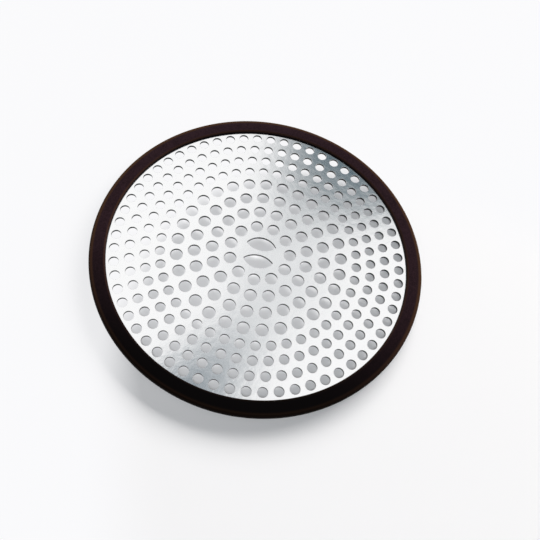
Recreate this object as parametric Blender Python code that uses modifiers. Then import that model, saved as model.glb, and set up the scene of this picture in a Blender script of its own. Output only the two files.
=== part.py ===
# Bathtub drain strainer: a perforated stainless steel disc gripped by a moulded silicone rim.
# Units are metres, +Z is up. The origin is on the rim's axis, on the floor that the rim rests on.
# +X runs along the two lens slots, and -Y is the line on which every ring of holes has one hole.

import math

import bmesh
import bpy

MM = 0.001

# Silicone rim: its side is upright above the plate's edge and draws in below it
RIM_OUTER_RADIUS = 57.5 * MM
RIM_WIDTH = 5.5 * MM
RIM_LIP_RISE = 1.0 * MM
RIM_BASE_DROP = 0.9 * MM
RIM_BASE_INSET = 1.0 * MM
RIM_OUTER_FILLET = 0.9 * MM
RIM_INNER_FILLET = 0.6 * MM
RIM_BASE_FILLET = 0.3 * MM

# Steel plate, and how far its edge reaches under the rim
PLATE_THICKNESS = 0.9 * MM
PLATE_GRIP_DEPTH = 2.8 * MM

# Clearance between the plate and the groove, on every side
GROOVE_CLEARANCE = 0.3 * MM

# Round holes: small ones in the outer rings, large ones in all the rings inside them
SMALL_HOLE_DIAMETER = 3.4 * MM
LARGE_HOLE_DIAMETER = 4.32 * MM
SMALL_RING_COUNT = 4

# Least steel between two holes, along a ring and from ring to ring
HOLE_WEB = 1.69 * MM

# Steel between the rim and the outermost holes, and least steel between slots and holes
EDGE_MARGIN = 0.9 * MM
SLOT_MARGIN = 1.2 * MM

# Lens slots: a pair, mirrored about the X axis, each between two arcs on one chord
SLOT_CHORD = 10.5 * MM
SLOT_OUTER_BULGE = 3.0 * MM
SLOT_INNER_BULGE = 2.2 * MM
SLOT_BRIDGE = 1.8 * MM
SLOT_TIP_RADIUS = 0.4 * MM

# Facets
LARGE_HOLE_SIDES = 10
SMALL_HOLE_SIDES = 8
SLOT_ARC_STEPS = 8
SLOT_TIP_STEPS = 2
ROUND_STEPS = 96
OUTER_FILLET_STEPS = 3
SMALL_FILLET_STEPS = 2
SMOOTH_ANGLE = math.radians(40)
WELD_DISTANCE = 0.001 * MM

# Largest share of a groove wall that a fillet on it takes
FILLET_SHARE = 0.9

# Sizes that follow from the ones above
RIM_INNER_RADIUS = RIM_OUTER_RADIUS - RIM_WIDTH
PLATE_RADIUS = RIM_INNER_RADIUS + PLATE_GRIP_DEPTH
PLATE_MID_HEIGHT = RIM_BASE_DROP + PLATE_THICKNESS / 2
RIM_HEIGHT = RIM_BASE_DROP + PLATE_THICKNESS + RIM_LIP_RISE
GROOVE_ROOT_RADIUS = PLATE_RADIUS + GROOVE_CLEARANCE
GROOVE_FLOOR = RIM_BASE_DROP - GROOVE_CLEARANCE
GROOVE_CEILING = RIM_BASE_DROP + PLATE_THICKNESS + GROOVE_CLEARANCE

# Direction of the line on which every ring has a hole
HOLE_LINE_ANGLE = -math.pi / 2


def clear_scene():
    """Remove every object, so that only the strainer is left."""
    for thing in list(bpy.data.objects):
        bpy.data.objects.remove(thing, do_unlink=True)


def new_collection(name):
    """Return a collection linked to the scene."""
    collection = bpy.data.collections.new(name)
    bpy.context.scene.collection.children.link(collection)
    return collection


def principled(name, colour, roughness, metallic):
    """Return a Principled material with a plain colour."""
    material = bpy.data.materials.new(name)
    material.use_nodes = True
    shader = material.node_tree.nodes["Principled BSDF"]
    shader.inputs["Base Color"].default_value = (*colour, 1.0)
    shader.inputs["Roughness"].default_value = roughness
    shader.inputs["Metallic"].default_value = metallic
    material.diffuse_color = (*colour, 1.0)
    return material


def mesh_piece(source, collection, material):
    """Replace a curve or a modified object by its finished mesh, welded and shaded smooth."""
    evaluated = source.evaluated_get(bpy.context.evaluated_depsgraph_get())
    mesh = bpy.data.meshes.new_from_object(evaluated)
    name = source.name
    place = source.matrix_world.copy()
    bpy.data.objects.remove(source, do_unlink=True)
    welded = bmesh.new()
    welded.from_mesh(mesh)
    bmesh.ops.remove_doubles(welded, verts=welded.verts, dist=WELD_DISTANCE)
    welded.to_mesh(mesh)
    welded.free()
    mesh.shade_smooth()
    mesh.set_sharp_from_angle(angle=SMOOTH_ANGLE)
    mesh.materials.clear()
    mesh.materials.append(material)
    mesh.name = name
    piece = bpy.data.objects.new(name, mesh)
    piece.matrix_world = place
    collection.objects.link(piece)
    return piece


def arc(centre, radius, start, end, steps):
    """Points on an arc from the start angle to the end angle, both ends included."""
    points = []
    for step in range(steps + 1):
        angle = start + (end - start) * step / steps
        points.append((centre[0] + radius * math.cos(angle), centre[1] + radius * math.sin(angle)))
    return points


def round_outline(centre, diameter, sides, turn):
    """A faceted circle that keeps the round hole's open area, one side square to the turn."""
    corner_area = 0.5 * sides * math.sin(2 * math.pi / sides)
    corner_radius = diameter / 2 * math.sqrt(math.pi / corner_area)
    start = turn + math.pi / sides
    return arc(centre, corner_radius, start, start + 2 * math.pi, sides)[:-1]


def slot_right_half():
    """Right half of a lens outline over its chord, from the top of the outer arc to the bottom.

    A small tip circle touches the outer arc and the inner arc from inside and rounds the point.
    """
    half_chord = SLOT_CHORD / 2
    outer_radius = (half_chord ** 2 + SLOT_OUTER_BULGE ** 2) / (2 * SLOT_OUTER_BULGE)
    inner_radius = (half_chord ** 2 + SLOT_INNER_BULGE ** 2) / (2 * SLOT_INNER_BULGE)
    outer_centre = SLOT_OUTER_BULGE - outer_radius
    inner_centre = inner_radius - SLOT_INNER_BULGE
    outer_reach = outer_radius - SLOT_TIP_RADIUS
    inner_reach = inner_radius - SLOT_TIP_RADIUS
    spread = inner_centre - outer_centre
    along = (spread ** 2 + outer_reach ** 2 - inner_reach ** 2) / (2 * spread)
    tip_x = math.sqrt(outer_reach ** 2 - along ** 2)
    tip_y = outer_centre + along
    outer_touch = math.atan2(tip_y - outer_centre, tip_x)
    inner_touch = math.atan2(tip_y - inner_centre, tip_x)
    top = math.pi / 2
    points = arc((0.0, outer_centre), outer_radius, top, outer_touch, SLOT_ARC_STEPS)
    points += arc((tip_x, tip_y), SLOT_TIP_RADIUS, outer_touch, inner_touch, SLOT_TIP_STEPS)[1:-1]
    points += arc((0.0, inner_centre), inner_radius, inner_touch, -top, SLOT_ARC_STEPS)
    return points


def lens_outline(side):
    """Outline of one lens slot. side is 1 for the slot at +Y and -1 for the slot at -Y."""
    right = slot_right_half()
    left = [(-x, y) for x, y in reversed(right[1:-1])]
    chord = SLOT_BRIDGE / 2 + SLOT_INNER_BULGE
    return [(x, side * (chord + y)) for x, y in right + left]


def slot_reach():
    """Distance from the plate's centre to the farthest point of the slots."""
    return max(math.hypot(x, y) for x, y in lens_outline(1))


def hole_rings():
    """Rings of round holes, from the rim inwards: ring radius, hole diameter and facet count.

    The large rings go on inwards for as long as they clear the lens slots.
    """
    rings = []
    outer_edge = RIM_INNER_RADIUS - EDGE_MARGIN
    for _ in range(SMALL_RING_COUNT):
        rings.append((outer_edge - SMALL_HOLE_DIAMETER / 2, SMALL_HOLE_DIAMETER, SMALL_HOLE_SIDES))
        outer_edge -= SMALL_HOLE_DIAMETER + HOLE_WEB
    innermost_edge = slot_reach() + SLOT_MARGIN
    while outer_edge - LARGE_HOLE_DIAMETER > innermost_edge:
        rings.append((outer_edge - LARGE_HOLE_DIAMETER / 2, LARGE_HOLE_DIAMETER, LARGE_HOLE_SIDES))
        outer_edge -= LARGE_HOLE_DIAMETER + HOLE_WEB
    return rings


def ring_outlines(ring_radius, diameter, sides):
    """Outlines of one ring of holes: as many as fit with the web, the first on the hole line."""
    count = int(2 * math.pi * ring_radius / (diameter + HOLE_WEB))
    outlines = []
    for index in range(count):
        angle = HOLE_LINE_ANGLE + 2 * math.pi * index / count
        centre = (ring_radius * math.cos(angle), ring_radius * math.sin(angle))
        outlines.append(round_outline(centre, diameter, sides, angle))
    return outlines


def add_outline(curve, outline):
    """Add a closed outline to a flat curve."""
    spline = curve.splines.new("POLY")
    spline.points.add(len(outline) - 1)
    for point, (x, y) in zip(spline.points, outline):
        point.co = (x, y, 0.0, 1.0)
    spline.use_cyclic_u = True


def make_plate(collection):
    """The flat steel disc with its rings of holes and its two lens slots."""
    curve = bpy.data.curves.new("perforated_plate", "CURVE")
    curve.dimensions = "2D"
    curve.fill_mode = "BOTH"
    curve.extrude = PLATE_THICKNESS / 2
    add_outline(curve, arc((0.0, 0.0), PLATE_RADIUS, 0.0, 2 * math.pi, ROUND_STEPS)[:-1])
    add_outline(curve, lens_outline(1))
    add_outline(curve, lens_outline(-1))
    hole_count = 0
    for ring_radius, diameter, sides in hole_rings():
        outlines = ring_outlines(ring_radius, diameter, sides)
        hole_count += len(outlines)
        print("ring at %.2f mm: %d holes of %.2f mm" % (ring_radius / MM, len(outlines), diameter / MM))
        for outline in outlines:
            add_outline(curve, outline)
    print("round holes in all: %d" % hole_count)
    blank = bpy.data.objects.new("perforated_plate", curve)
    blank.location = (0.0, 0.0, PLATE_MID_HEIGHT)
    collection.objects.link(blank)
    steel = principled("stainless_steel", (0.83, 0.84, 0.85), 0.28, 1.0)
    return mesh_piece(blank, collection, steel)


def rim_section():
    """Section of the rim at +X, down its outer side and up its inner side, groove included."""
    quarter = math.pi / 2
    lip_fillet = min(RIM_INNER_FILLET, FILLET_SHARE * (RIM_HEIGHT - GROOVE_CEILING))
    base_fillet = min(RIM_BASE_FILLET, FILLET_SHARE * GROOVE_FLOOR)

    # The side leans in from the plate's mid height to the base
    lean = math.atan2(RIM_BASE_INSET, PLATE_MID_HEIGHT)
    base_shift = base_fillet * (1 - math.sin(lean)) / math.cos(lean)
    base_outer = (RIM_OUTER_RADIUS - RIM_BASE_INSET - base_shift, base_fillet)
    base_inner = (RIM_INNER_RADIUS + base_fillet, base_fillet)
    top_outer = (RIM_OUTER_RADIUS - RIM_OUTER_FILLET, RIM_HEIGHT - RIM_OUTER_FILLET)
    top_inner = (RIM_INNER_RADIUS + lip_fillet, RIM_HEIGHT - lip_fillet)

    section = arc(top_outer, RIM_OUTER_FILLET, quarter, 0.0, OUTER_FILLET_STEPS)
    section += [(RIM_OUTER_RADIUS, PLATE_MID_HEIGHT)]
    section += arc(base_outer, base_fillet, -lean, -quarter, SMALL_FILLET_STEPS)
    section += arc(base_inner, base_fillet, -quarter, -2 * quarter, SMALL_FILLET_STEPS)
    section += [
        (RIM_INNER_RADIUS, GROOVE_FLOOR),
        (GROOVE_ROOT_RADIUS, GROOVE_FLOOR),
        (GROOVE_ROOT_RADIUS, GROOVE_CEILING),
        (RIM_INNER_RADIUS, GROOVE_CEILING),
    ]
    section += arc(top_inner, lip_fillet, 2 * quarter, quarter, SMALL_FILLET_STEPS)
    return section


def make_rim(collection):
    """The silicone ring, turned from its section, with the groove that grips the plate."""
    corners = [(x, 0.0, z) for x, z in rim_section()]
    edges = [(index, (index + 1) % len(corners)) for index in range(len(corners))]
    mesh = bpy.data.meshes.new("silicone_rim")
    mesh.from_pydata(corners, edges, [])
    blank = bpy.data.objects.new("silicone_rim", mesh)
    collection.objects.link(blank)
    turn = blank.modifiers.new("turn", "SCREW")
    turn.axis = "Z"
    turn.angle = 2 * math.pi
    turn.screw_offset = 0.0
    turn.steps = ROUND_STEPS
    turn.render_steps = ROUND_STEPS
    turn.use_merge_vertices = True
    turn.merge_threshold = WELD_DISTANCE
    silicone = principled("dark_silicone", (0.026, 0.015, 0.016), 0.55, 0.0)
    return mesh_piece(blank, collection, silicone)


def build():
    """Model the strainer."""
    clear_scene()
    strainer = new_collection("bathtub_drain_strainer")
    make_plate(strainer)
    make_rim(strainer)


build()
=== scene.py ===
# %% [markdown]
# # A bathtub drain strainer
#
# The strainer is a flat disc of stainless steel, punched full of round holes, with a ring of
# dark silicone stretched round its edge. It has only these two pieces, and nothing on it moves.
# This lesson dresses the measured model in the look of the real thing: clean punched holes with
# softly rounded edges, fine circular brushing that throws an hourglass of light and shade over
# the steel, and soft, nearly black silicone.
#
# The measured model is loaded first. It fixes where everything is, and it is never moved.

# %% Load the measured model
import math

import bmesh
import bpy
from mathutils import Matrix, Vector


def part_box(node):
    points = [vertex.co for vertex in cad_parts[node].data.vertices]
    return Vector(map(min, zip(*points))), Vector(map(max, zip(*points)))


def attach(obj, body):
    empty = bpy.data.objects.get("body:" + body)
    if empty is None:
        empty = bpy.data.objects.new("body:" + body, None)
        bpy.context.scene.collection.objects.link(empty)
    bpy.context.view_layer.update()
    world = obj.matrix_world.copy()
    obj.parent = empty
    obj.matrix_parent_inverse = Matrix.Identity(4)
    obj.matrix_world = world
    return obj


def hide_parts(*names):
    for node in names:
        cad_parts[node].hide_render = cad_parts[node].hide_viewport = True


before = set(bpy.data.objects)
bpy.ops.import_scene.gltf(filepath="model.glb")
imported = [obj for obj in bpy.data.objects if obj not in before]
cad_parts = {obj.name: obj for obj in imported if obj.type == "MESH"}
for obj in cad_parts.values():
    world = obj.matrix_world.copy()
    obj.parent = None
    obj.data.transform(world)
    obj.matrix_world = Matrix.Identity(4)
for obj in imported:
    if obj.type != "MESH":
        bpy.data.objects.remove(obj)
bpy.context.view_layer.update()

# %% [markdown]
# ## Sizes
#
# The heights and the outer radii are read off the measured model, so the fine surfaces made
# here cannot drift from it. The hole pattern follows one rule that is easy to see on the real
# disc: every ring holds as many holes as fit with the same narrow web of steel between them,
# and the same web parts one ring from the next. Small holes fill the four outer rings, large
# holes the four inner ones, and every ring has one hole on the line that runs to -Y.

# %% Sizes from the measured model
MM = 0.001
plate_low, plate_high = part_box("perforated_plate")
rim_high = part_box("silicone_rim")[1]

PLATE_RADIUS = plate_high[0]
PLATE_TOP = plate_high[2]
PLATE_BOTTOM = plate_low[2]
PLATE_THICKNESS = PLATE_TOP - PLATE_BOTTOM
RIM_RADIUS = rim_high[0]
RIM_TOP = rim_high[2]
print("plate %.2f mm thick, its top at %.2f mm" % (PLATE_THICKNESS / MM, PLATE_TOP / MM))
print("rim %.2f mm high, lip %.2f mm above the steel" % (RIM_TOP / MM, (RIM_TOP - PLATE_TOP) / MM))

# %% Sizes of the hole pattern
RIM_WIDTH = 5.5 * MM
RIM_INNER_RADIUS = RIM_RADIUS - RIM_WIDTH
SMALL_HOLE_DIAMETER = 3.4 * MM
LARGE_HOLE_DIAMETER = 4.32 * MM
SMALL_RING_COUNT = 4
LARGE_RING_COUNT = 4
HOLE_WEB = 1.69 * MM
EDGE_MARGIN = 0.9 * MM
HOLE_LINE_ANGLE = -math.pi / 2


def hole_rings():
    """Ring radius, hole diameter and number of holes of each ring, from the rim inwards."""
    rings = []
    outer_edge = RIM_INNER_RADIUS - EDGE_MARGIN
    diameters = [SMALL_HOLE_DIAMETER] * SMALL_RING_COUNT + [LARGE_HOLE_DIAMETER] * LARGE_RING_COUNT
    for diameter in diameters:
        ring_radius = outer_edge - diameter / 2
        count = int(2 * math.pi * ring_radius / (diameter + HOLE_WEB))
        rings.append((ring_radius, diameter, count))
        outer_edge -= diameter + HOLE_WEB
    return rings


for ring_radius, diameter, count in hole_rings():
    print("ring at %.2f mm: %d holes of %.2f mm" % (ring_radius / MM, count, diameter / MM))

# %% [markdown]
# ## Outlines
#
# A flat sheet with holes is one closed outline inside another. Arcs are all that this disc
# needs: full circles for the round holes, and for each lens slot two arcs that meet in small
# rounded tips.

# %% Arcs and circles
SMALL_HOLE_STEPS = 28


def arc(centre, radius, start, end, steps):
    """Points on an arc from the start angle to the end angle, both ends included."""
    points = []
    for step in range(steps + 1):
        angle = start + (end - start) * step / steps
        points.append((centre[0] + radius * math.cos(angle), centre[1] + radius * math.sin(angle)))
    return points


def circle(centre, diameter, steps):
    """Points of a circle, each once."""
    return arc(centre, diameter / 2, 0.0, 2 * math.pi, steps)[:-1]


small_hole = circle((0.0, 0.0), SMALL_HOLE_DIAMETER, SMALL_HOLE_STEPS)
print("a small hole is drawn with", len(small_hole), "points")

# %% The lens slots
SLOT_CHORD = 10.5 * MM
SLOT_OUTER_BULGE = 3.0 * MM
SLOT_INNER_BULGE = 2.2 * MM
SLOT_BRIDGE = 1.8 * MM
SLOT_TIP_RADIUS = 0.4 * MM
SLOT_ARC_STEPS = 20
SLOT_TIP_STEPS = 5


def lens_outline(side):
    """Outline of one lens slot. side is 1 for the slot at +Y and -1 for the slot at -Y."""
    half_chord = SLOT_CHORD / 2
    outer_radius = (half_chord ** 2 + SLOT_OUTER_BULGE ** 2) / (2 * SLOT_OUTER_BULGE)
    inner_radius = (half_chord ** 2 + SLOT_INNER_BULGE ** 2) / (2 * SLOT_INNER_BULGE)
    outer_centre = SLOT_OUTER_BULGE - outer_radius
    inner_centre = inner_radius - SLOT_INNER_BULGE
    outer_reach = outer_radius - SLOT_TIP_RADIUS
    inner_reach = inner_radius - SLOT_TIP_RADIUS
    spread = inner_centre - outer_centre
    along = (spread ** 2 + outer_reach ** 2 - inner_reach ** 2) / (2 * spread)
    tip_x = math.sqrt(outer_reach ** 2 - along ** 2)
    tip_y = outer_centre + along
    outer_touch = math.atan2(tip_y - outer_centre, tip_x)
    inner_touch = math.atan2(tip_y - inner_centre, tip_x)
    top = math.pi / 2
    right = arc((0.0, outer_centre), outer_radius, top, outer_touch, SLOT_ARC_STEPS)
    right += arc((tip_x, tip_y), SLOT_TIP_RADIUS, outer_touch, inner_touch, SLOT_TIP_STEPS)[1:-1]
    right += arc((0.0, inner_centre), inner_radius, inner_touch, -top, SLOT_ARC_STEPS)
    left = [(-x, y) for x, y in reversed(right[1:-1])]
    chord = SLOT_BRIDGE / 2 + SLOT_INNER_BULGE
    return [(x, side * (chord + y)) for x, y in right + left]


slot_points = lens_outline(1)
print("each slot is %.2f mm long and %.2f mm wide" % (
    2 * max(x for x, y in slot_points) / MM,
    (max(y for x, y in slot_points) - min(y for x, y in slot_points)) / MM))

# %% [markdown]
# ## The steel disc
#
# A filled 2D curve makes the disc: Blender cuts each inner outline out of the outer one, the
# extrude gives the thickness, and a small bevel rounds every edge, as tumbling rounds the edges
# of a punched sheet. The bevel pushes outlines apart, so the curve is offset back by the same
# amount and the holes keep their size. The edges round the flat faces are then marked sharp:
# shading stays exactly level on them, right up to the rounding, and smooth on the rounding.

# %% A collection for the pieces
strainer = bpy.data.collections.new("bathtub_drain_strainer")
bpy.context.scene.collection.children.link(strainer)


def new_piece(name, mesh):
    """Put a finished mesh in the strainer's collection."""
    mesh.name = name
    mesh.materials.clear()
    piece = bpy.data.objects.new(name, mesh)
    strainer.objects.link(piece)
    return piece


print("collection:", strainer.name)

# %% Outlines into a thick flat curve
EDGE_ROUND = 0.05 * MM


def sheet_curve(name, outlines, thickness):
    """A filled flat curve as thick as the sheet, with softly rounded edges."""
    curve = bpy.data.curves.new(name, "CURVE")
    curve.dimensions = "2D"
    curve.fill_mode = "BOTH"
    curve.bevel_depth = EDGE_ROUND
    curve.bevel_resolution = 1
    curve.offset = -EDGE_ROUND
    curve.extrude = thickness / 2 - EDGE_ROUND
    for outline in outlines:
        spline = curve.splines.new("POLY")
        spline.points.add(len(outline) - 1)
        for point, (x, y) in zip(spline.points, outline):
            point.co = (x, y, 0.0, 1.0)
        spline.use_cyclic_u = True
    return curve


print("edges of the sheet are rounded by %.2f mm" % (EDGE_ROUND / MM))

# %% The curve into one closed mesh
WELD_DISTANCE = 0.002 * MM
FLAT_FACE = 0.999


def sheet_mesh(name, outlines, thickness, middle_height):
    """A flat sheet with holes as a welded mesh, its flat faces bounded by sharp edges."""
    blank = bpy.data.objects.new(name, sheet_curve(name, outlines, thickness))
    strainer.objects.link(blank)
    evaluated = blank.evaluated_get(bpy.context.evaluated_depsgraph_get())
    mesh = bpy.data.meshes.new_from_object(evaluated)
    bpy.data.objects.remove(blank, do_unlink=True)
    work = bmesh.new()
    work.from_mesh(mesh)
    bmesh.ops.remove_doubles(work, verts=work.verts, dist=WELD_DISTANCE)
    bmesh.ops.translate(work, verts=work.verts, vec=(0.0, 0.0, middle_height))
    work.normal_update()
    for face in work.faces:
        face.smooth = True
    for edge in work.edges:
        level = [abs(face.normal.z) > FLAT_FACE for face in edge.link_faces]
        edge.smooth = not (any(level) and not all(level))
    open_edges = sum(len(edge.link_faces) != 2 for edge in work.edges)
    print("%s: %d faces, %d open edges" % (name, len(work.faces), open_edges))
    work.to_mesh(mesh)
    work.free()
    return mesh


# %% Punch the disc
LARGE_HOLE_STEPS = 32
DISC_STEPS = 256
PLATE_MIDDLE = (PLATE_TOP + PLATE_BOTTOM) / 2

disc_outline = circle((0.0, 0.0), 2 * PLATE_RADIUS, DISC_STEPS)
plate_outlines = [disc_outline, lens_outline(1), lens_outline(-1)]
for ring_radius, diameter, count in hole_rings():
    steps = SMALL_HOLE_STEPS if diameter == SMALL_HOLE_DIAMETER else LARGE_HOLE_STEPS
    for index in range(count):
        angle = HOLE_LINE_ANGLE + 2 * math.pi * index / count
        centre = (ring_radius * math.cos(angle), ring_radius * math.sin(angle))
        plate_outlines.append(circle(centre, diameter, steps))
plate_mesh = sheet_mesh("steel_disc", plate_outlines, PLATE_THICKNESS, PLATE_MIDDLE)
steel_disc = new_piece("steel_disc", plate_mesh)
print("steel disc: %d holes and 2 slots" % (len(plate_outlines) - 3))

# %% [markdown]
# ## The silicone rim
#
# The ring is turned from one section. Its top is flat with a generous rounding outside and a
# smaller one inside, its side stands upright above the edge of the disc and draws in below it,
# and its groove closes on the steel. Moulded silicone shows a faint parting line where the two
# halves of the mould met, here at the widest point of the side, and it is modelled as a low
# ridge.

# %% Section of the rim
LIP_TOUCH = 0.02 * MM
RIM_BASE_INSET = 1.0 * MM
RIM_OUTER_FILLET = 0.9 * MM
RIM_INNER_FILLET = 0.75 * MM
RIM_BASE_FILLET = 0.3 * MM
KNEE_ROUND = 0.5 * MM
PARTING_WIDTH = 0.14 * MM
PARTING_HEIGHT = 0.04 * MM
GROOVE_DEPTH = 3.0 * MM
FILLET_STEPS = 8
RIM_STEPS = 256


def rim_section():
    """Section of the rim at +X, down its outer side and up its inner side."""
    quarter = math.pi / 2
    lean = math.atan2(RIM_BASE_INSET, PLATE_MIDDLE)
    base_shift = RIM_BASE_FILLET * (1 - math.sin(lean)) / math.cos(lean)
    top_outer = (RIM_RADIUS - RIM_OUTER_FILLET, RIM_TOP - RIM_OUTER_FILLET)
    base_outer = (RIM_RADIUS - RIM_BASE_INSET - base_shift, RIM_BASE_FILLET)
    base_inner = (RIM_INNER_RADIUS + RIM_BASE_FILLET, RIM_BASE_FILLET)
    top_inner = (RIM_INNER_RADIUS + RIM_INNER_FILLET, RIM_TOP - RIM_INNER_FILLET)
    knee = PLATE_MIDDLE - KNEE_ROUND * math.tan(lean / 2)
    groove_floor = PLATE_BOTTOM - LIP_TOUCH
    groove_ceiling = PLATE_TOP + LIP_TOUCH
    groove_root = RIM_INNER_RADIUS + GROOVE_DEPTH

    section = arc(top_outer, RIM_OUTER_FILLET, quarter, 0.0, FILLET_STEPS)
    parting = PLATE_MIDDLE + 2 * PARTING_WIDTH
    section += [
        (RIM_RADIUS, parting + PARTING_WIDTH / 2),
        (RIM_RADIUS + PARTING_HEIGHT, parting + PARTING_WIDTH / 6),
        (RIM_RADIUS + PARTING_HEIGHT, parting - PARTING_WIDTH / 6),
        (RIM_RADIUS, parting - PARTING_WIDTH / 2),
    ]
    section += arc((RIM_RADIUS - KNEE_ROUND, knee), KNEE_ROUND, 0.0, -lean, FILLET_STEPS // 2)
    section += arc(base_outer, RIM_BASE_FILLET, -lean, -quarter, FILLET_STEPS // 2)
    section += arc(base_inner, RIM_BASE_FILLET, -quarter, -2 * quarter, FILLET_STEPS // 2)
    section += [
        (RIM_INNER_RADIUS, groove_floor),
        (groove_root, groove_floor),
        (groove_root, groove_ceiling),
        (RIM_INNER_RADIUS, groove_ceiling),
    ]
    section += arc(top_inner, RIM_INNER_FILLET, 2 * quarter, quarter, FILLET_STEPS)
    return section


print("the section of the rim has %d points" % len(rim_section()))

# %% Turn the rim
SHARP_ANGLE = math.radians(50)


def turned_mesh(name, section, steps):
    """A closed section swept a full turn round Z."""
    work = bmesh.new()
    rings = []
    for step in range(steps):
        angle = 2 * math.pi * step / steps
        ring = [work.verts.new((r * math.cos(angle), r * math.sin(angle), z)) for r, z in section]
        rings.append(ring)
    for step in range(steps):
        here = rings[step]
        there = rings[(step + 1) % steps]
        for index in range(len(section)):
            following = (index + 1) % len(section)
            work.faces.new((here[index], here[following], there[following], there[index]))
    bmesh.ops.recalc_face_normals(work, faces=work.faces)
    mesh = bpy.data.meshes.new(name)
    work.to_mesh(mesh)
    work.free()
    mesh.shade_smooth()
    return mesh


rim_mesh = turned_mesh("rubber_rim", rim_section(), RIM_STEPS)
rim_mesh.set_sharp_from_angle(angle=SHARP_ANGLE)
rubber_rim = new_piece("rubber_rim", rim_mesh)
print("rim: %d faces" % len(rim_mesh.polygons))

# %% [markdown]
# ## Writing materials as sums
#
# A procedural material is arithmetic on positions. Wrapping a node's socket in a small Python
# class lets that arithmetic be written as ordinary sums: each sum adds the Math node it needs.

# %% Sockets that can be added and multiplied
class Signal:
    """One output socket of a shader graph, usable in Python sums."""

    def __init__(self, graph, socket):
        self.graph = graph
        self.socket = socket

    def __add__(self, other):
        return self.graph.maths("ADD", self, other)

    def __radd__(self, other):
        return self.graph.maths("ADD", other, self)

    def __sub__(self, other):
        return self.graph.maths("SUBTRACT", self, other)

    def __rsub__(self, other):
        return self.graph.maths("SUBTRACT", other, self)

    def __mul__(self, other):
        return self.graph.maths("MULTIPLY", self, other)

    def __rmul__(self, other):
        return self.graph.maths("MULTIPLY", other, self)

    def __truediv__(self, other):
        return self.graph.maths("DIVIDE", self, other)

    def __rtruediv__(self, other):
        return self.graph.maths("DIVIDE", other, self)

    def beside(self, output):
        """Another output of the same node."""
        return Signal(self.graph, self.socket.node.outputs[output])


print("sockets now take + - * and /")

# %% A graph of nodes
class Graph:
    """The node tree of one finish or of the studio's light."""

    def __init__(self, tree):
        self.tree = tree
        self.tree.nodes.clear()

    def node(self, kind, settings=None, inputs=None, output=0):
        """Add a node: first its settings, then its sockets. Returns one of its outputs."""
        new = self.tree.nodes.new(kind)
        for name, value in (settings or {}).items():
            setattr(new, name, value)
        for name, value in (inputs or {}).items():
            if isinstance(value, Signal):
                self.tree.links.new(value.socket, new.inputs[name])
            else:
                new.inputs[name].default_value = value
        return Signal(self, new.outputs[output]) if new.outputs else None

    def maths(self, operation, *values):
        """Add a Math node."""
        return self.node("ShaderNodeMath", {"operation": operation}, dict(enumerate(values)))

    def fade(self, value, low, high):
        """0 below low, 1 above high, and a smooth rise between them."""
        return self.node("ShaderNodeMapRange", {"interpolation_type": "SMOOTHSTEP"},
                         {"Value": value, "From Min": low, "From Max": high})

    def blend(self, factor, first, second):
        """A colour between two colours."""
        return self.node("ShaderNodeMix", {"data_type": "RGBA"},
                         {0: factor, 6: first, 7: second}, 2)

    def noise(self, vector, scale, detail=2.0, roughness=0.5):
        """Smooth noise between 0 and 1."""
        return self.node("ShaderNodeTexNoise", None, {
            "Vector": vector, "Scale": scale, "Detail": detail, "Roughness": roughness})

    def split(self, vector):
        """The three coordinates of a vector."""
        first = self.node("ShaderNodeSeparateXYZ", None, {"Vector": vector})
        return first, first.beside(1), first.beside(2)

    def join(self, x, y, z):
        """A vector from three numbers."""
        return self.node("ShaderNodeCombineXYZ", None, {"X": x, "Y": y, "Z": z})

    def bump(self, height, strength, distance):
        """A surface raised and lowered by a height."""
        return self.node("ShaderNodeBump", None, {
            "Strength": strength, "Distance": distance, "Height": height})

    def seen(self):
        """Two masks of rays: those that mirror, and all those through which a viewer looks."""
        camera = self.node("ShaderNodeLightPath", output="Is Camera Ray")
        mirrored = self.maths("MAXIMUM", camera.beside("Is Glossy Ray"),
                              camera.beside("Is Transmission Ray"))
        return mirrored, self.maths("MAXIMUM", mirrored, camera)


print("a graph can add:", ", ".join(name for name in vars(Graph) if not name.startswith("_")))

# %% An empty finish
def new_finish(name):
    """A material with an empty graph, and the object's own coordinates in it."""
    material = bpy.data.materials.new(name)
    material.use_nodes = True
    graph = Graph(material.node_tree)
    return material, graph, graph.node("ShaderNodeTexCoord", output="Object")


print("every finish starts from the object's own coordinates")

# %% [markdown]
# ## Brushed stainless steel
#
# The disc was brushed while it turned, so its scratches are circles. Light spreads across a
# scratch and hardly along it, which is why the sheen gathers in wedges that meet at the centre.
# The Anisotropic setting of the Principled shader does this. Its own direction runs round the
# Z axis, and a quarter turn points the spread outwards, across the scratches. Noise stretched
# along circles adds the scratches that can be seen from close by, and a broad ripple gives the
# slightly uneven reflections of rolled sheet. Inside the holes the metal is cut, not brushed: a
# bright burnished band at the top and a rougher torn face below it, painted near black as shade.

# %% Where a point lies on the disc
STEEL_LIGHT = (1.0, 1.0, 1.0, 1.0)
STEEL_SHADE = (0.90, 0.905, 0.91, 1.0)
# near-black painted shade for the torn faces of the hole walls
HOLE_WALL_PAINTED_SHADE = (0.020, 0.024, 0.021, 1.0)
WALL_LEVEL = 0.25
FACE_LEVEL = 0.75
BURNISH_DEPTH = 0.06 * MM
BURNISH_BLUR = 0.2 * BURNISH_DEPTH

steel, graph, place = new_finish("brushed_steel")
x, y, z = graph.split(place)
radius = graph.maths("SQRT", x * x + y * y)
normal = graph.node("ShaderNodeNewGeometry", output="Normal")
level = graph.maths("ABSOLUTE", graph.split(normal)[2])
in_hole = 1.0 - graph.fade(level, WALL_LEVEL, FACE_LEVEL)
# torn lower face of each hole wall: its roughness is real, its near-black colour painted shade
torn_wall_painted_shade = in_hole * graph.fade(PLATE_TOP - z, BURNISH_DEPTH - BURNISH_BLUR,
                            BURNISH_DEPTH + BURNISH_BLUR)
print("masks of the steel:", len(graph.tree.nodes), "nodes")

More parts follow.
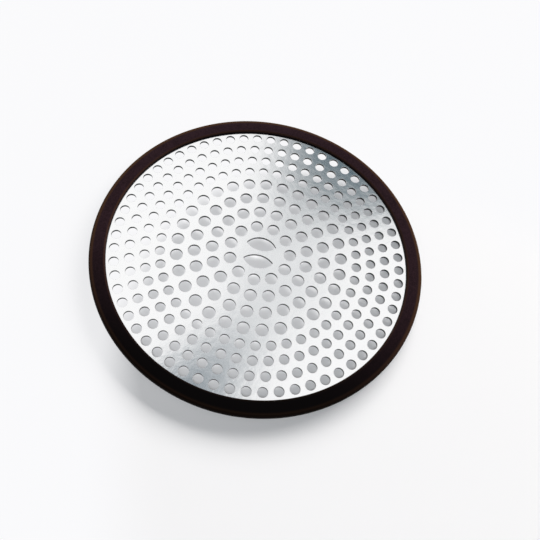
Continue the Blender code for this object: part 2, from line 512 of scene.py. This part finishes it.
# %% Scratches and ripple
FINE_OUTWARDS = 9000.0
FINE_ROUND = 14.0
FINE_DEPTH = 0.0008 * MM
BROAD_OUTWARDS = 1600.0
BROAD_ROUND = 5.0
BROAD_DEPTH = 0.0012 * MM
RIPPLE_SCALE = 420.0
RIPPLE_DEPTH = 0.018 * MM


def scratches(outwards, round_disc, detail=2.0, roughness=0.5):
    """Noise that changes fast from the centre outwards and slowly round the disc."""
    circles = graph.join(radius * outwards, x / radius * round_disc, y / radius * round_disc)
    return graph.noise(circles, scale=1.0, detail=detail, roughness=roughness)


fine_scratches = scratches(FINE_OUTWARDS, FINE_ROUND, detail=3.0, roughness=0.6)
broad_scratches = scratches(BROAD_OUTWARDS, BROAD_ROUND)
ripple = graph.noise(place, RIPPLE_SCALE)
relief = fine_scratches * FINE_DEPTH + broad_scratches * BROAD_DEPTH + ripple * RIPPLE_DEPTH
print("with the relief:", len(graph.tree.nodes), "nodes")

# %% Colour and sheen of the steel
MOTTLE_SCALE = 260.0
GRAIN_SCALE = 2600.0
STEEL_ROUGHNESS = 0.085
MOTTLE_ROUGHNESS = 0.05
GRAIN_ROUGHNESS = 0.03
TORN_ROUGHNESS = 0.2
SPREAD_ACROSS_SCRATCHES = 0.64
QUARTER_TURN = 0.25

mottle = graph.noise(place, MOTTLE_SCALE, detail=3.0, roughness=0.6)
grain = graph.noise(place, GRAIN_SCALE, detail=2.0, roughness=0.6)
face_colour = graph.blend(mottle * 0.5 + grain * 0.5, STEEL_SHADE, STEEL_LIGHT)
shader = graph.node("ShaderNodeBsdfPrincipled", None, {
    "Base Color": graph.blend(torn_wall_painted_shade, face_colour, HOLE_WALL_PAINTED_SHADE),
    "Metallic": 1.0,
    "Roughness": (STEEL_ROUGHNESS + mottle * MOTTLE_ROUGHNESS + grain * GRAIN_ROUGHNESS
                  + torn_wall_painted_shade * TORN_ROUGHNESS),
    "Normal": graph.bump(relief, strength=1.0, distance=1.0),
    "Anisotropic": SPREAD_ACROSS_SCRATCHES,
    "Anisotropic Rotation": QUARTER_TURN,
})
graph.node("ShaderNodeOutputMaterial", None, {"Surface": shader})
plate_mesh.materials.append(steel)
print("steel finish:", len(graph.tree.nodes), "nodes")

# %% [markdown]
# ## Dark silicone
#
# The rim is cast in nearly black silicone with a warm, brownish undertone. Its skin is satin: it
# came out of a finely blasted mould. Painted light lies in its colour: a painted brown highlight
# on its rounded edges, the outer one most, and painted shade that darkens it towards the front and
# down the inner lip to a black foot. Where it is left lit, a speckled film of dust dulls its top
# unevenly.

# %% Dust and painted shade on the silicone
CLOUD_SCALE = 180.0
SKIN_SCALE = 5200.0
DUST_SCALE = 2300.0
DUST_SPARSE = 0.3
DUST_DENSE = 0.7
# painted shade: the rim is painted darker towards -Y, the front, and down the inner lip to its
# foot
PAINTED_SHADE_FRONT = -0.85 * RIM_RADIUS
PAINTED_LIT_BACK = 0.1 * RIM_RADIUS
PAINTED_SHADE_FOOT = 0.4
PAINTED_LIT_LIP = 0.75

silicone, graph, place = new_finish("dark_silicone")
x, y, z = graph.split(place)
radius = graph.maths("SQRT", x * x + y * y)
cloud = graph.noise(place, CLOUD_SCALE, detail=3.0, roughness=0.6)
skin = graph.noise(place, SKIN_SCALE, detail=2.0, roughness=0.65)
specks = graph.noise(place, DUST_SCALE, detail=2.0, roughness=0.7)
dust = graph.fade(specks, DUST_SPARSE, DUST_DENSE)
lip = (z - PLATE_TOP) / (RIM_TOP - PLATE_TOP)
# painted shade mask: 0 at the front and at the foot of the inner lip, 1 on the lit back, sides and
# upper lip
painted_lit_side = graph.fade(y, PAINTED_SHADE_FRONT, PAINTED_LIT_BACK) * graph.fade(lip, PAINTED_SHADE_FOOT, PAINTED_LIT_LIP)
print("film of dust:", len(graph.tree.nodes), "nodes")

# %% Painted highlight on the rounded edges of the silicone
OUTER_HIGHLIGHT_FROM = RIM_RADIUS - 1.9 * RIM_OUTER_FILLET
OUTER_HIGHLIGHT_FULL = RIM_RADIUS - RIM_OUTER_FILLET
INNER_HIGHLIGHT_FULL = RIM_INNER_RADIUS + 0.4 * RIM_INNER_FILLET
INNER_HIGHLIGHT_TO = RIM_INNER_RADIUS + 1.3 * RIM_INNER_FILLET
INNER_FOOT = 0.5
INNER_TOP = 0.9
INNER_HIGHLIGHT_SHARE = 0.6

# painted highlight: brown on the outer rounding and, weaker, on the upper part of the inner
# rounding
outer_edge = graph.fade(radius, OUTER_HIGHLIGHT_FROM, OUTER_HIGHLIGHT_FULL)
inner_edge = 1.0 - graph.fade(radius, INNER_HIGHLIGHT_FULL, INNER_HIGHLIGHT_TO)
edge_highlight_mask = graph.maths("MAXIMUM", outer_edge * graph.fade(lip, 0.0, 1.0),
                   inner_edge * graph.fade(lip, INNER_FOOT, INNER_TOP) * INNER_HIGHLIGHT_SHARE)
print("with the thin edges:", len(graph.tree.nodes), "nodes")

# %% Colour and sheen of the silicone
# the rubber's colour in painted shade, and its colour lit and dusty
RUBBER_PAINTED_SHADE = (0.0006, 0.0003, 0.0004, 1.0)
RUBBER_LIT_AND_DUSTY = (0.0234, 0.0117, 0.0152, 1.0)
PAINTED_EDGE_HIGHLIGHT = (0.047, 0.0225, 0.0115, 1.0)
EVEN_SHARE = 0.25
CLOUD_SHARE = 0.5
DUST_SPECK_SHARE = 0.6
HIGHLIGHT_IN_PAINTED_SHADE = 0.12
SATIN_ROUGHNESS = 0.34
UNEVEN_ROUGHNESS = 0.06
SKIN_STRENGTH = 0.25
SKIN_DEPTH = 0.03 * MM

# random dust and clouds on the painted lit side; painted shade elsewhere
dust_and_painted_light = painted_lit_side * (EVEN_SHARE + cloud * CLOUD_SHARE + dust * DUST_SPECK_SHARE)
# painted brown highlight on the edges, full on the painted lit side, weak in the painted shade
painted_edge_highlight = edge_highlight_mask * (HIGHLIGHT_IN_PAINTED_SHADE + painted_lit_side * (1.0 - HIGHLIGHT_IN_PAINTED_SHADE))
rubber_colour = graph.blend(dust_and_painted_light, RUBBER_PAINTED_SHADE, RUBBER_LIT_AND_DUSTY)
shader = graph.node("ShaderNodeBsdfPrincipled", None, {
    "Base Color": graph.blend(painted_edge_highlight, rubber_colour, PAINTED_EDGE_HIGHLIGHT),
    "Roughness": SATIN_ROUGHNESS + cloud * UNEVEN_ROUGHNESS + skin * UNEVEN_ROUGHNESS,
    "Normal": graph.bump(skin, SKIN_STRENGTH, SKIN_DEPTH),
    "IOR": 1.41,
    "Specular IOR Level": 0.05,
    "Sheen Weight": 0.10,
    "Sheen Roughness": 0.35,
    "Sheen Tint": (0.45, 0.30, 0.24, 1.0),
})
graph.node("ShaderNodeOutputMaterial", None, {"Surface": shader})
rim_mesh.materials.append(silicone)
print("silicone finish:", len(graph.tree.nodes), "nodes")

# %% [markdown]
# ## A white tent
#
# Steel shows what stands round it more than it shows itself, so it is photographed in a tent of
# white cloth. The world is that tent: white wherever the steel mirrors it, with a few darker
# parts that draw the hourglass on the disc. A doorway stands open at the back right, the arm of
# a stand reaches in overhead from the front, with a faint haze past its tip, and the front of the
# tent is open. They are laid out on a flat ceiling one metre above the strainer: the open front
# as a fade, the others as ovals. As a lamp the tent is only a weak fill; the two lamps further
# down do the lighting.

# %% The tent seen in the steel
TENT_WHITE = (1.0, 1.0, 1.0, 1.0)
DOORWAY = (0.005, 0.056, 0.086, 1.0)
ARM_GREY = (0.09, 0.14, 0.18, 1.0)
OPEN_FRONT = (0.42, 0.43, 0.44, 1.0)
FRONT_EDGE = -0.7
FRONT_END = 0.30
HAZE_STRENGTH = 0.28
FILL_LIGHT = 0.09
LEAST_RISE = 0.02

world = bpy.data.worlds.new("white_tent")
world.use_nodes = True
bpy.context.scene.world = world
graph = Graph(world.node_tree)
way_x, way_y, way_z = graph.split(graph.node("ShaderNodeTexCoord", output="Generated"))
rise = graph.maths("MAXIMUM", way_z, LEAST_RISE)
ceiling_x = way_x / rise
ceiling_y = way_y / rise


def oval(middle, half_length, half_width, degrees, softness):
    """1 inside an oval on the ceiling, fading to 0 round it; its length is turned from +X."""
    turn = math.radians(degrees)
    x = ceiling_x - middle[0]
    y = ceiling_y - middle[1]
    along = (x * math.cos(turn) + y * math.sin(turn)) / half_length
    across = (y * math.cos(turn) - x * math.sin(turn)) / half_width
    distance = graph.maths("SQRT", along * along + across * across)
    return 1.0 - graph.fade(distance, 1.0 - softness, 1.0 + softness)


doorway = oval((0.44, 1.39), half_length=0.78, half_width=0.285, degrees=62.0, softness=0.16)
arm = oval((-0.252, -0.05), half_length=0.50, half_width=0.085, degrees=59.0, softness=0.4)
haze = oval((0.045, 0.54), half_length=0.085, half_width=0.085, degrees=0.0, softness=0.6)
tent = graph.blend(graph.fade(ceiling_y, FRONT_EDGE, FRONT_END), OPEN_FRONT, TENT_WHITE)
tent = graph.blend(haze * HAZE_STRENGTH, tent, ARM_GREY)
tent = graph.blend(arm, tent, ARM_GREY)
tent = graph.blend(doorway, tent, DOORWAY)
mirrored, seen = graph.seen()
background = graph.node("ShaderNodeBackground", None, {
    "Color": graph.blend(mirrored, TENT_WHITE, tent),
    "Strength": FILL_LIGHT + seen * (1.0 - FILL_LIGHT),
})
graph.node("ShaderNodeOutputWorld", None, {"Surface": background})
print("tent:", len(graph.tree.nodes), "nodes")

# %% [markdown]
# ## Floor
#
# The strainer lies on a board of white acrylic, a pale surface that takes its shadow. The board
# also carries a painted glow that lights nothing. Most of it lies at the back left, where it
# whitens the board under the outer holes, and a faint painted pool of it lies under the left half
# of the disc. It is weaker round the foot of the rim, a painted soft shade there. Each of them is
# a smooth fade over a distance. The pool's is measured from its own middle, and the other one's
# from the centre of the strainer and towards the back left, which leans its edge. Far away the
# board fades to plain white. All this is only for the rays through which the board is seen, so no
# horizon shows and no light is added to the strainer.

# %% White board
FLOOR_RADIUS = 3.0
FLOOR_STEPS = 96
FLOOR_DROP = 0.02 * MM

work = bmesh.new()
bmesh.ops.create_circle(work, cap_ends=True, segments=FLOOR_STEPS, radius=FLOOR_RADIUS)
floor_mesh = bpy.data.meshes.new("floor")
work.to_mesh(floor_mesh)
work.free()
floor = bpy.data.objects.new("floor", floor_mesh)
floor.location = (0.0, 0.0, -FLOOR_DROP)
bpy.context.scene.collection.objects.link(floor)
print("floor: %.1f m across" % (2 * FLOOR_RADIUS))

# %% Painted glow at the back left, weaker round the foot of the rim
LIT_TURN = math.radians(139)
LIT_LEAN = 0.92
LIT_START = 38.5 * MM
LIT_END = 67.0 * MM
LIT_STRENGTH = 0.94
FOOT_START = 54.0 * MM
FOOT_END = 80.0 * MM
FOOT_SHADE = 0.18

acrylic, graph, place = new_finish("white_board")
x, y, z = graph.split(place)
away = graph.node("ShaderNodeVectorMath", {"operation": "LENGTH"}, {0: place}, "Value")
slant = away + (x * math.cos(LIT_TURN) + y * math.sin(LIT_TURN)) * LIT_LEAN
# painted light and shade on the board: a glow from the back left, less of it round the foot of the
# rim
foot = graph.fade(away, FOOT_START, RIM_RADIUS) * (1.0 - graph.fade(away, RIM_RADIUS, FOOT_END))
lit = graph.fade(slant, LIT_START, LIT_END) * (LIT_STRENGTH - foot * FOOT_SHADE)
print("light at the back left:", len(graph.tree.nodes), "nodes")

# %% Painted pool of light under the left half
POOL_MIDDLE = (-25.0 * MM, -5.0 * MM, 0.0)
POOL_START = 20.0 * MM
POOL_END = 80.0 * MM
POOL_STRENGTH = 0.27

off_pool = graph.node("ShaderNodeVectorMath", {"operation": "DISTANCE"},
                      {0: place, 1: POOL_MIDDLE}, "Value")
pool = (1.0 - graph.fade(off_pool, POOL_START, POOL_END)) * POOL_STRENGTH
print("with the pool:", len(graph.tree.nodes), "nodes")

# %% Finish of the board
BOARD_WHITE = (0.91, 0.908, 0.92, 1.0)
BOARD_ROUGHNESS = 0.7
PAINTED_GLOW_WHITE = (0.96, 0.96, 0.975, 1.0)
FADE_START = 0.25
FADE_END = 1.1

seen = graph.seen()[1]
board = graph.node("ShaderNodeBsdfPrincipled", None, {
    "Base Color": BOARD_WHITE, "Roughness": BOARD_ROUGHNESS})
# the painted glow: an emission seen only through camera, mirror and transmission rays
painted_glow = graph.node("ShaderNodeEmission", None, {"Color": PAINTED_GLOW_WHITE})
plain = graph.node("ShaderNodeEmission", None, {"Color": TENT_WHITE})
lit_board = graph.node("ShaderNodeMixShader", None, {
    0: seen * graph.maths("MAXIMUM", lit, pool), 1: board, 2: painted_glow})
shader = graph.node("ShaderNodeMixShader", None, {
    0: seen * graph.fade(away, FADE_START, FADE_END), 1: lit_board, 2: plain})
graph.node("ShaderNodeOutputMaterial", None, {"Surface": shader})
floor_mesh.materials.append(acrylic)
print("white board:", len(graph.tree.nodes), "nodes")

# %% [markdown]
# ## Lamps
#
# Two soft lamps do the lighting. One stands low behind the strainer, a little to the right: it
# draws the soft shadow along the near side of the rim and leaves the board under the holes grey.
# The other stands above the camera and lights the board through the holes. A lamp's level says
# how bright it alone would make a perfectly white board. Neither shows in the steel, which
# mirrors the tent.

# %% Two soft lamps
LAMP_DISTANCE = 2.5
WARM_WHITE = (1.0, 0.975, 0.95)
COOL_WHITE = (0.94, 0.975, 1.0)


def lamp(name, colour, degrees_round, degrees_up, width, height, level):
    """A soft lamp aimed at the strainer, so many degrees round from +X and up from the board."""
    azimuth = math.radians(degrees_round)
    elevation = math.radians(degrees_up)
    data = bpy.data.lights.new(name, "AREA")
    data.shape = "RECTANGLE"
    data.size = width
    data.size_y = height
    data.color = colour
    data.energy = level * (math.pi * LAMP_DISTANCE) ** 2 / math.sin(elevation)
    softbox = bpy.data.objects.new(name, data)
    direction = Vector((math.cos(azimuth) * math.cos(elevation),
                        math.sin(azimuth) * math.cos(elevation),
                        math.sin(elevation)))
    softbox.location = direction * LAMP_DISTANCE
    softbox.rotation_euler = direction.to_track_quat("Z", "Y").to_euler()
    softbox.visible_glossy = False
    softbox.visible_camera = False
    bpy.context.scene.collection.objects.link(softbox)
    print("%s lamp: %.0f W" % (name, data.energy))


lamp("back", WARM_WHITE, degrees_round=66.0, degrees_up=16.5, width=2.6, height=0.6, level=0.765)
lamp("front", COOL_WHITE, degrees_round=-93.0, degrees_up=65.0, width=0.7, height=0.7, level=0.34)

# %% [markdown]
# ## Camera
#
# The photograph was taken from close by, looking down steeply, with the camera turned a little
# about its own axis. The direction, the distance and the turn were found by fitting the outlines
# of the rim and the rows of holes.

# %% Place the camera
FOCAL_LENGTH = 41.86
SENSOR_WIDTH = 36.0
CAMERA_AZIMUTH = math.radians(-2.84)
CAMERA_ELEVATION = math.radians(62.22)
CAMERA_ROLL = math.radians(15.04)
CAMERA_DISTANCE = 214.9 * MM
AIM_POINT = Vector((4.69 * MM, -5.77 * MM, PLATE_TOP))
NEAREST_SEEN = 0.01
FARTHEST_SEEN = 20.0

camera_data = bpy.data.cameras.new("camera")
camera_data.lens = FOCAL_LENGTH
camera_data.sensor_width = SENSOR_WIDTH
camera_data.clip_start = NEAREST_SEEN
camera_data.clip_end = FARTHEST_SEEN
camera = bpy.data.objects.new("camera", camera_data)
back = Vector((math.sin(CAMERA_AZIMUTH) * math.cos(CAMERA_ELEVATION),
               -math.cos(CAMERA_AZIMUTH) * math.cos(CAMERA_ELEVATION),
               math.sin(CAMERA_ELEVATION)))
level_right = Vector((0.0, 0.0, 1.0)).cross(back).normalized()
level_up = back.cross(level_right)
right = level_right * math.cos(CAMERA_ROLL) + level_up * math.sin(CAMERA_ROLL)
up = level_up * math.cos(CAMERA_ROLL) - level_right * math.sin(CAMERA_ROLL)
facing = Matrix((right, up, back)).transposed().to_4x4()
camera.matrix_world = Matrix.Translation(AIM_POINT + back * CAMERA_DISTANCE) @ facing
bpy.context.scene.collection.objects.link(camera)
bpy.context.scene.camera = camera
bpy.context.scene.view_settings.view_transform = "Standard"
print("camera %.0f mm above the steel" % ((camera.matrix_world.translation.z - PLATE_TOP) / MM))

# %% [markdown]
# ## Tying the pieces to the measured model
#
# Each fine piece rides on the one body of the strainer and stands in for its plain solid. The
# slots say which of the two materials it is made of.

# %% Tie the pieces
for piece, node, material in ((steel_disc, "perforated_plate", "steel"),
                              (rubber_rim, "silicone_rim", "silicone")):
    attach(piece, "root")
    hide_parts(node)
    print(piece.name, "stands in for", node)

# %% Finish
bpy.context.view_layer.update()
